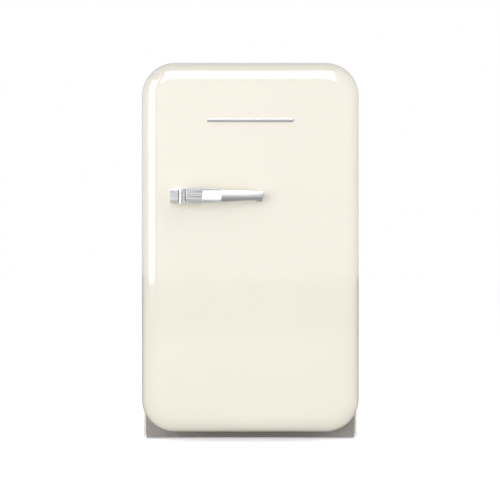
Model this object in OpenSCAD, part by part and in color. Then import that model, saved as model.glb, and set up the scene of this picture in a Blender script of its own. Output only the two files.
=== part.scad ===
// Small retro refrigerator: a domed door on a steel cabinet, a white moulded
// interior, and an absorption cooling unit in an open recess at the back.
// The front faces -Y and the door hangs on the +X side. The origin is on the
// floor, under the middle of the whole depth, handle included.
// All sizes are in millimetres.

/* [Cabinet] */
// Width over the side walls, and of the door
width = 404; // [402:1:416]
// Height of the top above the floor
height = 708; // [704:1:724]
// Depth of the cabinet behind the door gap
cabinet_depth = 415; // [412:1:440]
// Radius of the top corners, and of all four door corners
corner_r = 62; // [58:1:66]
// Thickness of the painted steel sheet
sheet = 1.2; // [1:0.1:1.4]
// Width of the lip that the outer wrap turns in at the front
lip_w = 4; // [3.5:0.5:4.5]
// Height of the wrap's lower edge above the floor
wrap_z = 6; // [4:1:8]
// Height of the base panel's upper face above the floor
base_z = 44; // [43:1:45]
// Depth of the open recess at the back that holds the cooling unit
recess_depth = 95; // [93:1:98]
// Height of the plinth's lower edge above the floor
plinth_z = 3; // [2:0.5:4]

/* [Door] */
// Thickness of the door without its gasket
door_t = 75; // [70:1:80]
// Gap between door and cabinet, filled by the gasket
door_gap = 10; // [9.8:0.1:10.4]
// Height of the door's lower edge above the floor
door_z = 20.6; // [16:0.2:22]
// Radius that rounds the door's front edge
edge_r = 38; // [32:1:42]
// Radius that rounds the door's rear edge
rear_r = 4; // [4:0.5:5]
// Width of the lip that the door skin turns in at the back
door_lip = 18; // [17:0.5:19]
// Width of the gasket ring
gasket_w = 15.5; // [14:0.5:15.5]
// Height of the raised wall that the door liner pushes into the cabinet
dyke_h = 35; // [30:1:36]
// Length of the plain badge strip
badge_l = 160; // [60:1:190]
// Height of the badge strip above the floor
badge_z = 597.5; // [560:0.5:620]

/* [Interior] */
// Width inside the liner
cavity_w = 320; // [316:1:322]
// Height of the cavity floor above the floor
cavity_z = 70; // [68:1:72]
// Height of the cavity ceiling above the floor
cavity_top = 660; // [656:1:662]
// Depth of the cavity behind the cabinet's front
cavity_depth = 290; // [280:1:294]
// Thickness of the moulded liner
liner_t = 1.5; // [1.2:0.1:1.6]
// Height of the lower shelf's underside
lower_shelf_z = 248; // [240:1:256]
// Height of the upper shelf's underside
upper_shelf_z = 444; // [436:1:452]
// Thickness of the glass shelves
glass_t = 4; // [3:0.5:5]
// Height of the lower balcony's floor
lower_balcony_z = 112; // [109:1:120]
// Height of the upper balcony's floor
upper_balcony_z = 318; // [310:1:330]
// How far a balcony reaches from the door liner
balcony_reach = 92; // [80:1:94]
// Height of a balcony's front wall
balcony_h = 58; // [50:1:62]

/* [Handle] */
// How far the handle stands proud of the door
handle_reach = 36; // [34:1:38]
// Height of the handle's centre above the floor
handle_z = 457.9; // [430:0.1:480]
// Distance from the door's middle to the handle's fixed end
handle_left = 146.3; // [144:0.1:150]
// Length of the handle over all
handle_l = 168.4; // [165:0.1:174]
// Height of the fluted block
block_h = 21.7; // [20:0.1:23]
// Thickness of each cheek of the lever's fork
cheek_t = 2.8; // [2.4:0.1:3]
// Diameter of the lever's pivot pin
lever_pin_d = 6; // [5:0.5:6]

/* [Hinges] */
// Diameter of the hinge pins
hinge_pin_d = 5; // [4:0.5:5]
// Height of the upper hinge's middle
upper_hinge_z = 618; // [600:1:620]
// Height of the lower hinge's middle
lower_hinge_z = 112; // [106:1:120]
// Length of each hinge
hinge_l = 44; // [40:1:48]
// Clearance of a pin in the part that turns on it
running_gap = 0.05; // [0.03:0.01:0.08]

/* [Cooling unit] */
// Outside diameter of the absorber's tube
absorber_d = 18; // [16:1:19]
// Number of straight passes in the absorber
absorber_passes = 6; // [4:1:6]
// Outside diameter of the condenser and riser tubes
tube_d = 14; // [12:1:15]
// Number of condenser fins
condenser_fin_count = 15; // [10:1:17]
// Number of fins on the cold plate inside
cold_fin_count = 17; // [11:1:19]

/* [Feet] */
// Diameter of the foot pads
foot_d = 34; // [30:1:36]
// Diameter of the threaded foot stems
stem_d = 10; // [8:1:10]
// Distance of the feet from the middle plane
foot_x = 168; // [166:1:169]

/* [Hidden] */
$fn = 96;

// Depths along Y
depth = handle_reach + door_t + door_gap + cabinet_depth;
back_y = depth / 2;
cab_y = back_y - cabinet_depth;
door_back_y = cab_y - door_gap;
door_y = door_back_y - door_t;
handle_y = door_y - handle_reach;
flange_t = 1.5;
flange_back_y = cab_y + flange_t;
foam_y = flange_back_y + liner_t + 0.1;
recess_y = back_y - recess_depth;
liner_back_y = cab_y + cavity_depth;

// Door outline
door_h = height - door_z;
door_mid_z = door_z + door_h / 2;
gasket_inner_w = cavity_w + 16;
gasket_low_z = cavity_z - 8 - gasket_w;
gasket_top_z = cavity_top + 8 + gasket_w;
gasket_r = 24;
dyke_w = cavity_w - 12;
dyke_wall = 12;
dyke_low_z = cavity_z + 6;
dyke_top_z = cavity_top - 6;

// Hinge axis
hinge_x = width / 2 - 4;
hinge_y = cab_y - door_gap / 2;
knuckle_d = 8;
leaf_t = 2;
leaf_w = 9;

// Lever and its pivot
pivot_x = -handle_left + 22;
pivot_y = handle_y + 9;
barrel_r = 7;
lever_x = pivot_x + barrel_r + 0.4;
face_x = [lever_x + 1, -52.6];
arm_end_x = handle_l - handle_left;
fork_half = block_h / 2 + 0.2 + cheek_t;
handle_screw_x = -handle_left + 11;
handle_screw_z = [handle_z - 5.5, handle_z + 5.5];

// Interior fittings
rib_w = 10;
shelf_front_y = cab_y + 109;
shelf_back_y = liner_back_y - 6;
balcony_w = dyke_w - 2 * dyke_wall - 2;
wall_t = 2.5;
lug_w = 12;
lug_y = door_back_y + 17;
cold_z = [520, 636];
control_z = cavity_top - 34;
control_y = [cab_y + 78, cab_y + 142];
knob_x = 45;

// Cooling unit
unit_y = recess_y + 44;
pass_gap = 42;
absorber_z = 190;
absorber_x = [-150, 36];
tank_z = 106;
tank_d = 62;
boiler_x = 120;
boiler_d = 74;
boiler_z = [base_z + 62, 428];
condenser_z = 602;
condenser_x = [-138, 106];
cold_pipe_x = [-120, -80];
cold_pipe_z = condenser_z - 48;
drain_z = cold_z[0] - 49;
fin_half = [24, 32];
fin_x = [-100, 70];
bracket_t = 2;
bracket_half = 13;
bracket_foot = 18;
bracket_hole = 9;
// Brackets, each as its X and the height of its screw
brackets = [[-132, condenser_z], [84, condenser_z], [-118, tank_z], [2, tank_z]];

// Junction box and the gland in its cover
box_x = [84, 180];
box_y = [recess_y + 0.2, back_y - 20];
box_h = 62;
box_wall = 2.5;
post_in = 6;
post_z = [base_z + post_in, base_z + box_h - post_in];
gland_x = (box_x[0] + box_x[1]) / 2;
gland_z = base_z + box_h / 2;
cord_bore = 8.4;

// Feet and rear glides
foot_y = cab_y + 44;
glide_y = back_y - 34;
pad_h = 7;
glide_h = 12;
rail_z = 12;
rail_t = 1.5;
rail_x = [150, 190];

// Fixing screws
screw_d = 3.4;
hinge_screw_x = hinge_x - 9;
hinge_screw_z = [for (z = [upper_hinge_z, lower_hinge_z], s = [-14, 14]) z + s];

// Slab of an X-Z outline between two depths
module slab(y0, y1) {
    translate([0, y1, 0]) rotate([90, 0, 0]) linear_extrude(y1 - y0) children();
}

// Box between two corners
module block(low, high) {
    translate(low) cube(high - low);
}

// Cylinder along X, Y or Z from a starting point
module rod_x(from, length, d) {
    translate(from) rotate([0, 90, 0]) cylinder(h = length, d = d);
}
module rod_y(from, length, d) {
    translate(from) rotate([-90, 0, 0]) cylinder(h = length, d = d);
}
module rod_z(from, length, d) {
    translate(from) cylinder(h = length, d = d);
}

// Outline centred on X with four equal rounded corners
module rounded(w, z0, z1, r) {
    translate([-w / 2 + r, z0]) square([w - 2 * r, z1 - z0]);
    translate([-w / 2, z0 + r]) square([w, z1 - z0 - 2 * r]);
    for (x = [-w / 2 + r, w / 2 - r], z = [z0 + r, z1 - r]) translate([x, z]) circle(r);
}

// Outline centred on X with rounded top corners and a square foot
module arch(w, z0, z1, r) {
    translate([-w / 2, z0]) square([w, z1 - z0 - r]);
    translate([-w / 2 + r, z0]) square([w - 2 * r, z1 - z0]);
    for (x = [-w / 2 + r, w / 2 - r]) translate([x, z1 - r]) circle(r);
}

// Sweeps a section round a rounded rectangle that is centred on the origin.
// The section's x runs outwards from the corner centres and its y along Y.
module rim(w, h, r) {
    for (s = [0, 1]) mirror([s, 0, 0])
        translate([w / 2 - r, 0, r - h / 2]) linear_extrude(h - 2 * r) children();
    for (s = [0, 1]) mirror([0, 0, s])
        translate([w / 2 - r, 0, h / 2 - r]) rotate([0, -90, 0])
            linear_extrude(w - 2 * r) children();
    for (sx = [0, 1], sz = [0, 1]) mirror([sx, 0, 0]) mirror([0, 0, sz])
        translate([w / 2 - r, 0, h / 2 - r]) rotate([-90, 0, 0]) rotate([0, 0, 270])
            rotate_extrude(angle = 90) children();
}

// Quarter of a ring, or of a disc where the wall is the whole radius.
// The quarter lies in +X and on the given side of Y.
module quarter_ring(r, wall, side) {
    intersection() {
        difference() {
            circle(r);
            if (wall < r) circle(r - wall);
        }
        translate([0, side > 0 ? 0 : -r]) square(r);
    }
}

// Section of the pressed door skin with its rear lip
module skin_section() {
    flat = corner_r - edge_r;
    square([flat, sheet]);
    translate([flat, edge_r]) quarter_ring(edge_r, sheet, -1);
    translate([corner_r - sheet, edge_r]) square([sheet, door_t - edge_r - rear_r]);
    translate([corner_r - rear_r, door_t - rear_r]) quarter_ring(rear_r, sheet, 1);
    translate([corner_r - door_lip, door_t - sheet]) square([door_lip - rear_r, sheet]);
}

// Section of the foam that fills the skin, g inside the skin's outer face
module foam_section(g) {
    flat = corner_r - edge_r;
    back = door_t - liner_t - 0.1;
    translate([0, g]) square([flat, back - g]);
    translate([flat, edge_r]) quarter_ring(edge_r - g, edge_r - g, -1);
    translate([flat, edge_r]) square([edge_r - g, back - edge_r - rear_r]);
    translate([flat, edge_r]) square([edge_r - g - rear_r, back - edge_r]);
}

// Clearance holes for the screws of both hinges, about a given depth
module leaf_screw_holes(y, d) {
    for (z = hinge_screw_z) rod_y([hinge_screw_x, y - 8, z], 16, d);
}

// ---- Cabinet ----

module outer_wrap() color("#f3eedd") {
    slab(cab_y + sheet, back_y) difference() {
        arch(width, wrap_z, height, corner_r);
        arch(width - 2 * sheet, wrap_z - 1, height - sheet, corner_r - sheet);
    }
    slab(cab_y, cab_y + sheet) difference() {
        arch(width, wrap_z, height, corner_r);
        arch(width - 2 * lip_w, wrap_z - 1, height - lip_w, corner_r - lip_w);
    }
}

module front_flange() color("#efece2") {
    inset = lip_w + 0.2;
    difference() {
        slab(cab_y, flange_back_y) difference() {
            arch(width - 2 * inset, base_z + 0.4, height - inset, corner_r - inset);
            rounded(cavity_w + 8, cavity_z - 4, cavity_top + 4, 14);
        }
        leaf_screw_holes(cab_y, screw_d);
    }
}

module rear_panel() color("#c9ccce") {
    inset = sheet + 0.2;
    difference() {
        slab(recess_y - sheet, recess_y) arch(width - 2 * inset, base_z, height - inset, corner_r - inset);
        for (x = cold_pipe_x) rod_y([x, recess_y - 5, cold_pipe_z], 10, tube_d + 1);
        rod_y([0, recess_y - 5, drain_z], 10, 13);
        for (b = brackets) rod_y([b[0] + bracket_hole, recess_y - 5, b[1]], 10, 4.2);
    }
}

module base_panel() color("#b9bdc0") {
    half = width / 2 - sheet - 0.2;
    block([-half, foam_y, base_z - sheet], [half, back_y - 2, base_z]);
    block([-half, back_y - 2 - sheet, base_z - 14], [half, back_y - 2, base_z - sheet]);
}

module base_rails() color("#a9adb0") {
    top = base_z - sheet;
    w = rail_x[1] - rail_x[0];
    for (s = [0, 1]) mirror([s, 0, 0]) difference() {
        slab(cab_y + 22, back_y - 12) {
            translate([rail_x[0], rail_z]) square([w, rail_t]);
            translate([rail_x[0], top - rail_t]) square([w, rail_t]);
            translate([rail_x[1] - rail_t, rail_z]) square([rail_t, top - rail_z]);
        }
        rod_z([foot_x, foot_y, rail_z - 1], 6, stem_d + 1.5);
        rod_z([foot_x, glide_y, rail_z - 1], 6, stem_d + 0.1);
    }
}

module plinth() color("#8d8783") {
    half = width / 2 - lip_w - 0.2;
    plate_t = 2.5;
    back = cab_y + 15;
    block([-half, cab_y, plinth_z], [half, cab_y + plate_t, base_z]);
    block([-half, cab_y + plate_t, base_z - 2 * sheet - plate_t],
        [half, back, base_z - 2 * sheet]);
    for (s = [0, 1]) mirror([s, 0, 0])
        block([half - plate_t, cab_y + plate_t, plinth_z], [half, back, base_z - 2 * sheet - plate_t]);
}

module liner_outline(g, r) {
    rounded(cavity_w + 2 * g, cavity_z - g, cavity_top + g, r + g);
}

module inner_liner() color("#f4f5f4") {
    r = 12;
    difference() {
        union() {
            slab(flange_back_y, liner_back_y + liner_t) liner_outline(liner_t, r);
            slab(flange_back_y, flange_back_y + liner_t) liner_outline(8, r);
        }
        slab(flange_back_y - 1, liner_back_y) liner_outline(0, r);
        for (x = cold_pipe_x) rod_y([x, liner_back_y - 5, cold_pipe_z], 12, tube_d);
        rod_y([0, liner_back_y - 5, drain_z], 12, 12);
    }
    for (s = [0, 1], z = [lower_shelf_z, upper_shelf_z]) mirror([s, 0, 0])
        block([cavity_w / 2 - rib_w, cab_y + 88, z - 4], [cavity_w / 2, liner_back_y, z]);
}

module cabinet_foam() color("#e8d9a8") {
    inset = sheet + 0.2;
    difference() {
        slab(foam_y, recess_y - sheet) arch(width - 2 * inset, base_z, height - inset, corner_r - inset);
        slab(foam_y - 1, liner_back_y + liner_t + 0.1) liner_outline(liner_t + 0.1, 12);
        slab(foam_y - 1, foam_y) liner_outline(9, 12);
        for (x = cold_pipe_x) rod_y([x, liner_back_y, cold_pipe_z], 60, tube_d + 0.4);
        rod_y([0, liner_back_y, drain_z], 60, 12.4);
        block([-162, foam_y - 1, height - 30], [-122, foam_y + 12, height - 14]);
        leaf_screw_holes(foam_y + 4, 4);
        for (b = brackets) rod_y([b[0] + bracket_hole, recess_y - 12, b[1]], 14, 4.4);
    }
}

// ---- Inside the cabinet ----

module cold_plate() color("#cfd4d8") {
    half = 118;
    back = liner_back_y;
    block([-half, back - 3, cold_z[0]], [half, back, cold_z[1]]);
    for (i = [0:cold_fin_count - 1]) {
        x = -half + 6 + i * (2 * half - 12) / (cold_fin_count - 1);
        block([x - 0.8, back - 24, cold_z[0]], [x + 0.8, back - 3, cold_z[1]]);
    }
}

module drip_tray() color("#e9ebec") {
    half = 126;
    low = cold_z[0] - 34;
    front = liner_back_y - 34;
    difference() {
        block([-half, front, low], [half, liner_back_y, low + 24]);
        block([-half + 2, front + 2, low + 4], [half - 2, liner_back_y - 2, low + 30]);
        rod_z([0, liner_back_y - 14, low - 1], 10, 8);
    }
    difference() {
        rod_z([0, liner_back_y - 14, low - 9], 9, 11);
        rod_z([0, liner_back_y - 14, low - 10], 11, 8);
    }
}

module control_housing() color("#f1f2f1") {
    half = 74;
    low = control_z;
    difference() {
        block([-half, control_y[0], low], [half, control_y[1], cavity_top]);
        block([-half + 2, control_y[0] + 2, low + 2], [half - 2, control_y[1] - 2, cavity_top + 1]);
        rod_y([knob_x, control_y[0] - 1, low + 17], 6, 6.1);
        block([-half + 12, control_y[0] + 12, low - 1], [14, control_y[1] - 12, low + 3]);
    }
}

module lamp_lens() color([0.92, 0.95, 0.96, 0.6]) {
    block([-61.8, control_y[0] + 12.2, control_z - 1.5], [13.8, control_y[1] - 12.2, control_z + 2]);
    block([-60, control_y[0] + 14, control_z - 4], [12, control_y[1] - 14, control_z - 1.5]);
}

module lamp_board() color("#2f6b45") {
    y = (control_y[0] + control_y[1]) / 2;
    block([-58, y - 12, control_z + 9], [10, y + 12, control_z + 10.6]);
    for (i = [0:5])
        block([-54 + i * 11, y - 2.5, control_z + 7.8], [-49 + i * 11, y + 2.5, control_z + 9]);
    for (x = [-48, 0]) difference() {
        rod_z([x, y + 7, control_z + 10.6], 34 - 10.6, 7);
        rod_z([x, y + 7, control_z + 10], 12, 2.4);
    }
}

module reed_switch() color("#e4e4e0") {
    block([-158, foam_y + 0.5, height - 28], [-126, foam_y + 10, height - 16]);
}

// ---- Hinges ----

// One flat leaf with its knuckles. The knuckle spans are fractions of its
// length, and side is 1 on the cabinet and -1 on the door.
module leaf(z, side, spans, bore) {
    face_y = side > 0 ? cab_y : door_back_y;
    plate_y = side > 0 ? [face_y - leaf_t, face_y] : [face_y, face_y + leaf_t];
    inner_x = hinge_x - 4.5 - leaf_w;
    difference() {
        union() {
            block([inner_x, plate_y[0], z - hinge_l / 2], [inner_x + leaf_w, plate_y[1], z + hinge_l / 2]);
            for (span = spans) {
                low = z + (span[0] - 0.5) * hinge_l;
                high = z + (span[1] - 0.5) * hinge_l;
                rod_z([hinge_x, hinge_y, low], high - low, knuckle_d);
                block([inner_x + leaf_w, plate_y[0], low], [hinge_x, plate_y[1], high]);
            }
        }
        rod_z([hinge_x, hinge_y, z - hinge_l], 2 * hinge_l, bore);
        leaf_screw_holes(face_y, screw_d);
    }
}

module cabinet_leaf(z) color("#b8bcc0") leaf(z, 1, [[0, 0.3], [0.7, 1]], hinge_pin_d);
module door_leaf(z) color("#b8bcc0") leaf(z, -1, [[0.305, 0.695]], hinge_pin_d + 2 * running_gap);

module upper_cabinet_leaf() cabinet_leaf(upper_hinge_z);
module lower_cabinet_leaf() cabinet_leaf(lower_hinge_z);
module upper_door_leaf() door_leaf(upper_hinge_z);
module lower_door_leaf() door_leaf(lower_hinge_z);
module hinge_pins() color("#9da1a5")
    for (z = [upper_hinge_z, lower_hinge_z])
        rod_z([hinge_x, hinge_y, z - hinge_l / 2 - 1], hinge_l + 2, hinge_pin_d);

// Screws through a leaf into the cabinet, side 1, or the door, side -1
module leaf_screws(side) {
    face_y = side > 0 ? cab_y - leaf_t : door_back_y + leaf_t;
    for (z = hinge_screw_z)
        translate([hinge_screw_x, face_y, z]) rotate([-90 * side, 0, 0]) {
            cylinder(h = leaf_t + 9, d = screw_d);
            translate([0, 0, -1.6]) difference() {
                cylinder(h = 1.6, d = 6.4);
                translate([0, 0, -0.1]) cylinder(h = 0.9, d = 3, $fn = 6);
            }
        }
}

module cabinet_leaf_screws() color("#8f9498") leaf_screws(1);
module door_leaf_screws() color("#8f9498") leaf_screws(-1);

// ---- Cooling unit in the recess ----

module boiler_jacket() color("#c4c8ca") {
    difference() {
        rod_z([boiler_x, unit_y, boiler_z[0]], boiler_z[1] - boiler_z[0], boiler_d);
        rod_z([boiler_x, unit_y, boiler_z[1] - 20], 21, tube_d);
        rod_z([boiler_x - 16, unit_y, boiler_z[1] - 12], 13, 9);
    }
}

module solution_tank() color("#2b2c2e") {
    end_x = absorber_x[1] + 20;
    rod_x([absorber_x[0], unit_y, tank_z], end_x - absorber_x[0], tank_d);
    for (x = [absorber_x[0] - 5, end_x]) rod_x([x, unit_y, tank_z], 5, tank_d - 14);
    rod_x([end_x, unit_y, tank_z - 16], boiler_x - boiler_d / 2 - end_x, 9);
}

// Half turn of tube in the X-Z plane that opens to the left or the right
module bend(x, z, side, r, d) {
    translate([x, unit_y, z]) rotate([90, 0, 0]) rotate([0, 0, side > 0 ? -90 : 90])
        rotate_extrude(angle = 180) translate([r, 0]) circle(d = d);
}

module absorber_coil() color("#2f3032") {
    for (i = [0:absorber_passes - 1])
        rod_x([absorber_x[0], unit_y, absorber_z + i * pass_gap],
            absorber_x[1] - absorber_x[0], absorber_d);
    for (i = [0:absorber_passes - 2])
        bend(absorber_x[i % 2 == 0 ? 1 : 0], absorber_z + (i + 0.5) * pass_gap,
            i % 2 == 0 ? 1 : -1, pass_gap / 2, absorber_d);
    difference() {
        rod_z([absorber_x[0] + 6, unit_y, tank_z + 20], absorber_z - tank_z - 20, absorber_d);
        rod_x([absorber_x[0] - 30, unit_y, tank_z], 80, tank_d);
    }
}

module riser_pipe() color("#2f3032") {
    top = condenser_z - 26;
    rod_z([boiler_x, unit_y, boiler_z[1] - 20], top - boiler_z[1] + 20, tube_d);
    translate([boiler_x - 26, unit_y, top]) rotate([90, 0, 0])
        rotate_extrude(angle = 90) translate([26, 0]) circle(d = tube_d);
    rod_x([condenser_x[1] - 12, unit_y, condenser_z], boiler_x - 26 - condenser_x[1] + 12, tube_d);
}

module condenser_tube() color("#2f3032") {
    drop = condenser_z - cold_pipe_z;
    low_x = cold_pipe_x[0] - tube_d / 2;
    rod_x([condenser_x[0], unit_y, condenser_z], condenser_x[1] - 12 - condenser_x[0], tube_d);
    bend(condenser_x[0], condenser_z - drop / 2, -1, drop / 2, tube_d);
    rod_x([condenser_x[0], unit_y, cold_pipe_z], low_x - condenser_x[0], tube_d);
}

module condenser_fins() color("#b7bcbf") {
    for (i = [0:condenser_fin_count - 1]) {
        x = fin_x[0] + i * (fin_x[1] - fin_x[0]) / (condenser_fin_count - 1);
        difference() {
            block([x - 0.5, unit_y - fin_half[0], condenser_z - fin_half[1]],
                [x + 0.5, unit_y + fin_half[0], condenser_z + fin_half[1]]);
            rod_x([x - 1, unit_y, condenser_z], 2, tube_d);
        }
    }
}

module cold_pipes() color("#2f3032") {
    absorber_top = absorber_z + (absorber_passes - 1) * pass_gap + absorber_d / 2;
    for (x = cold_pipe_x)
        rod_y([x, liner_back_y, cold_pipe_z], unit_y + tube_d / 2 - liner_back_y, tube_d);
    rod_z([cold_pipe_x[1], unit_y, absorber_top + 0.3], cold_pipe_z - absorber_top - 0.3, tube_d - 4);
}

module unit_brackets() color("#9fa4a8") {
    for (b = brackets) {
        hook = b[1] == tank_z ? tank_d : tube_d;
        reach = b[1] == tank_z ? unit_y - 16 : unit_y + 14;
        low = b[1] - bracket_half;
        high = b[1] + bracket_half;
        difference() {
            union() {
                block([b[0], recess_y, low], [b[0] + bracket_t, reach, high]);
                block([b[0], recess_y, low], [b[0] + bracket_foot, recess_y + bracket_t, high]);
            }
            rod_x([b[0] - 1, unit_y, b[1]], bracket_t + 2, hook);
            rod_y([b[0] + bracket_hole, recess_y - 1, b[1]], bracket_t + 2, 4.2);
        }
    }
}

module bracket_screws() color("#8f9498") {
    for (b = brackets) {
        x = b[0] + bracket_hole;
        rod_y([x, recess_y - 9, b[1]], 9 + bracket_t, 4.2);
        difference() {
            rod_y([x, recess_y + bracket_t, b[1]], 2.6, 8);
            rod_y([x, recess_y + bracket_t + 1, b[1]], 2, 3.4, $fn = 6);
        }
    }
}

module drain_tube() color("#d9dcdd") {
    mouth_y = liner_back_y - 20;
    end_y = recess_y + 12;
    difference() {
        union() {
            rod_y([0, mouth_y, drain_z], end_y - mouth_y, 12);
            rod_z([0, end_y, drain_z - 40], 46, 12);
        }
        rod_y([0, mouth_y + 2, drain_z], end_y - mouth_y - 2, 8);
        rod_z([0, end_y, drain_z - 41], 41, 8);
        rod_z([0, liner_back_y - 14, drain_z], 10, 7.9);
    }
}

module box_posts() for (x = [box_x[0] + post_in, box_x[1] - post_in], z = post_z)
    translate([x, 0, z]) children();

module junction_box() color("#e3e4e2") {
    low = [box_x[0], box_y[0], base_z];
    high = [box_x[1], box_y[1], base_z + box_h];
    wall = [box_wall, box_wall, box_wall];
    difference() {
        block(low, high);
        block(low + wall, [high[0] - box_wall, high[1] + 1, high[2] - box_wall]);
    }
    box_posts() difference() {
        rod_y([0, low[1] + box_wall, 0], high[1] - low[1] - box_wall, 9);
        rod_y([0, high[1] - 12, 0], 13, 3);
    }
}

module junction_cover() color("#d6d8d6") difference() {
    block([box_x[0], box_y[1], base_z], [box_x[1], box_y[1] + box_wall, base_z + box_h]);
    box_posts() rod_y([0, box_y[1] - 1, 0], 5, 3.2);
    rod_y([gland_x, box_y[1] - 1, gland_z], 5, 16);
}

module cover_screws() color("#8f9498") box_posts() {
    rod_y([0, box_y[1] - 10, 0], 10 + box_wall, 3);
    difference() {
        rod_y([0, box_y[1] + box_wall, 0], 2.2, 6.5);
        rod_y([0, box_y[1] + box_wall + 1, 0], 2, 3, $fn = 6);
    }
}

module cord_gland() color("#303133") difference() {
    union() {
        rod_y([gland_x, box_y[1] - 4, gland_z], 20, 16);
        rod_y([gland_x, box_y[1] + box_wall, gland_z], 5, 22);
        rod_y([gland_x, box_y[1] - box_wall, gland_z], box_wall, 20);
    }
    rod_y([gland_x, box_y[1] - 5, gland_z], 24, cord_bore);
}

// ---- Feet ----

module foot_nuts() color("#a9adb0") {
    for (s = [0, 1]) mirror([s, 0, 0]) difference() {
        rod_z([foot_x, foot_y, rail_z + rail_t], 9, 20, $fn = 6);
        rod_z([foot_x, foot_y, rail_z + rail_t - 0.5], 10, stem_d + 2 * running_gap);
    }
}

module foot() color("#2a2a2c") {
    difference() {
        rod_z([foot_x, foot_y, 0], pad_h, foot_d);
        for (a = [0:30:330]) translate([foot_x, foot_y, 0]) rotate([0, 0, a])
            rod_z([foot_d / 2 + 1.2, 0, 2], 6, 5);
    }
    rod_z([foot_x, foot_y, pad_h], 26, stem_d);
}

module right_foot() foot();
module left_foot() mirror([1, 0, 0]) foot();

module rear_glides() color("#2a2a2c") {
    for (s = [0, 1]) mirror([s, 0, 0]) {
        rod_z([foot_x, glide_y, 0], glide_h, 26);
        rod_z([foot_x, glide_y, glide_h], 8, stem_d);
    }
}

// ---- Door ----

module door_frame() {
    translate([0, door_y, door_mid_z]) children();
}

module door_skin() color("#f4f0e2") {
    flat = [width / 2 - corner_r, door_h / 2 - corner_r];
    door_frame() difference() {
        union() {
            rim(width, door_h, corner_r) skin_section();
            block([-flat[0], 0, -flat[1]], [flat[0], sheet, flat[1]]);
        }
        for (z = handle_screw_z)
            rod_y([handle_screw_x, -1, z - door_mid_z], 4, 4.4);
        translate([0, -door_y, -door_mid_z]) leaf_screw_holes(door_back_y, screw_d);
    }
}

module door_foam() color("#e8d9a8") {
    flat = [width / 2 - corner_r, door_h / 2 - corner_r];
    g = sheet + 0.1;
    difference() {
        door_frame() {
            rim(width, door_h, corner_r) foam_section(g);
            block([-flat[0], g, -flat[1]], [flat[0], door_t - liner_t - 0.1, flat[1]]);
        }
        for (z = handle_screw_z)
            rod_y([handle_screw_x, door_y, z], 8, 9.4);
        leaf_screw_holes(door_back_y - 6, 4);
        block([-160, door_back_y - 12, height - 30], [-124, door_back_y, height - 24]);
    }
}

module door_liner() color("#f4f5f4") {
    r = 30;
    w = dyke_w;
    h = dyke_top_z - dyke_low_z;
    mid = (dyke_top_z + dyke_low_z) / 2;
    lug_x = balcony_w / 2 - 4;
    slab(door_back_y - liner_t, door_back_y)
        rounded(width - 2 * door_lip - 0.4, door_z + door_lip + 0.2, height - door_lip - 0.2,
            corner_r - door_lip);
    translate([0, door_back_y, mid]) rim(w, h, r) difference() {
        translate([r - dyke_wall, 0]) square([dyke_wall, dyke_h]);
        translate([r - dyke_wall + liner_t, -1]) square([dyke_wall - 2 * liner_t, dyke_h + 1 - liner_t]);
    }
    for (s = [0, 1], z = [lower_balcony_z, upper_balcony_z]) mirror([s, 0, 0])
        block([lug_x, lug_y, z + 6], [dyke_w / 2 - dyke_wall, lug_y + lug_w, z + 26]);
}

module door_gasket() color("#efeee9") {
    hollow = 5;
    translate([0, door_back_y, (gasket_low_z + gasket_top_z) / 2])
        rim(gasket_inner_w + 2 * gasket_w, gasket_top_z - gasket_low_z, gasket_r) difference() {
            translate([gasket_r - gasket_w, 0]) square([gasket_w, door_gap]);
            translate([gasket_r - gasket_w + 2.5, 2.5]) square([gasket_w - 5, hollow]);
        }
}

module switch_magnet() color("#5b5d60") {
    block([-158, door_back_y - 10, height - 29], [-126, door_back_y - 2, height - 25]);
}

module badge_strip() color("#d3d5d7") {
    slab(door_y - 2.4, door_y) rounded(badge_l, badge_z - 3.2, badge_z + 3.2, 3);
}

// ---- Handle ----

module handle_base() color("#c9ccd0") {
    half = block_h / 2;
    low = handle_z - half;
    front = pivot_y - barrel_r;
    difference() {
        union() {
            block([-handle_left, front, low], [pivot_x - 4, door_y, low + block_h]);
            block([-handle_left, pivot_y, low], [pivot_x + 4, door_y, low + block_h]);
            rod_z([pivot_x, pivot_y, low], block_h, 2 * barrel_r);
        }
        for (i = [-2:2])
            rod_x([-handle_left - 1, front - 0.9, handle_z + i * block_h / 5], 14, 3);
        rod_z([pivot_x, pivot_y, low - 1], block_h + 2, lever_pin_d);
        rod_z([pivot_x, pivot_y, handle_z - 6], 12, 11);
        for (z = handle_screw_z) rod_y([handle_screw_x, door_y - 14, z], 15, 4);
    }
}

module handle_pin() color("#b5b9bd") {
    rod_z([pivot_x, pivot_y, handle_z - fork_half + 0.3], 2 * fork_half - 0.6, lever_pin_d);
}

module lever_spring() color("#8a8e92") {
    for (i = [-2:2])
        translate([pivot_x, pivot_y, handle_z + i * 2.1])
            rotate_extrude() translate([4.3, 0]) circle(d = 1.6);
}

module handle_screws() color("#8f9498") {
    for (z = handle_screw_z) {
        rod_y([handle_screw_x, door_y - 13, z], 13 + sheet, 4);
        difference() {
            rod_y([handle_screw_x, door_y + sheet, z], 3.2, 8.4);
            rod_y([handle_screw_x, door_y + sheet + 1.6, z], 2, 3.6, $fn = 6);
        }
    }
}

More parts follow.
